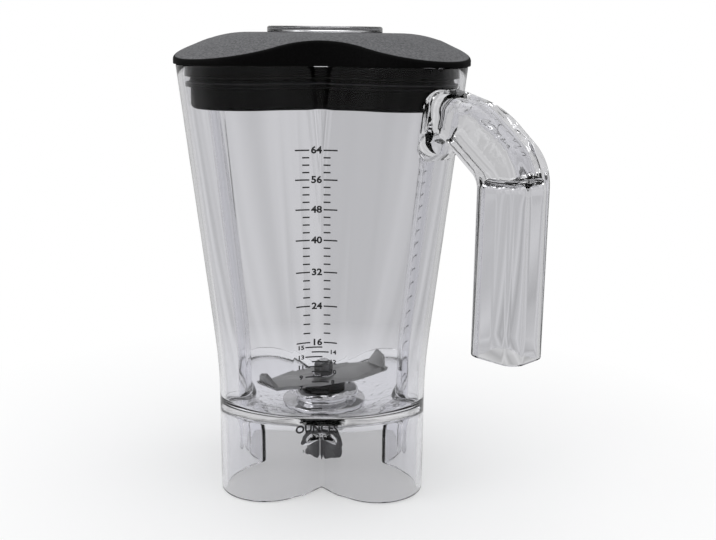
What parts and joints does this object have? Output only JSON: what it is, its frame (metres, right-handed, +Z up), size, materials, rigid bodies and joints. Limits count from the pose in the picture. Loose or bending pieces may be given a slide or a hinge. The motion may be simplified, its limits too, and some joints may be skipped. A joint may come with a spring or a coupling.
{
  "type": "blender jar",
  "caption": "Clear fluted blender jar with a side handle, a bladed cutter turning in its floor, a soft black lid and a clear filler cap.",
  "frame": {"origin": "on the blade axis, in the plane of the skirt's bottom edge on which the jar stands", "axes": "+Z up along the blade axis; +X from the axis towards the handle"},
  "size_m": [0.2402, 0.1864, 0.257],
  "materials": {
    "clear_plastic": "clear, polished, faintly grey",
    "black_rubber": "soft black with a fine grain",
    "stainless_steel": "satin to polished stainless",
    "bearing_steel": "ground and polished",
    "black_plastic": "black, semi-matt"
  },
  "bodies": {
    "jar": {"jar": "clear_plastic", "housing_gasket": "black_rubber", "bearing_housing": "stainless_steel", "shaft_seal": "black_rubber", "upper_bearing_outer_ring": "bearing_steel", "upper_bearing_balls": "bearing_steel", "lower_bearing_outer_ring": "bearing_steel", "lower_bearing_balls": "bearing_steel", "retaining_ring": "stainless_steel", "tail_washer": "stainless_steel", "tail_nut": "stainless_steel"},
    "cutter": {"shaft": "stainless_steel", "upper_bearing_inner_ring": "bearing_steel", "lower_bearing_inner_ring": "bearing_steel", "bearing_spacer": "stainless_steel", "shaft_spacer": "stainless_steel", "drive_clutch": "black_plastic", "slinger": "black_plastic", "blade": "stainless_steel", "blade_washer": "stainless_steel", "blade_nut": "stainless_steel"},
    "lid": {"lid": "black_rubber"},
    "filler_cap": {"filler_cap": "clear_plastic"}
  },
  "joints": [
    {"name": "cutter_spin", "type": "hinge", "parent": "jar", "child": "cutter", "pos_m": [0, 0, 0.04], "axis": [0, 0, 1], "continuous": true},
    {"name": "lid_lift", "type": "slide", "parent": "jar", "child": "lid", "axis": [0, 0, 1], "range_m": [0, 0.08]},
    {"name": "filler_cap_lift", "type": "slide", "parent": "lid", "child": "filler_cap", "axis": [0, 0, 1], "range_m": [0, 0.04]}
  ]
}
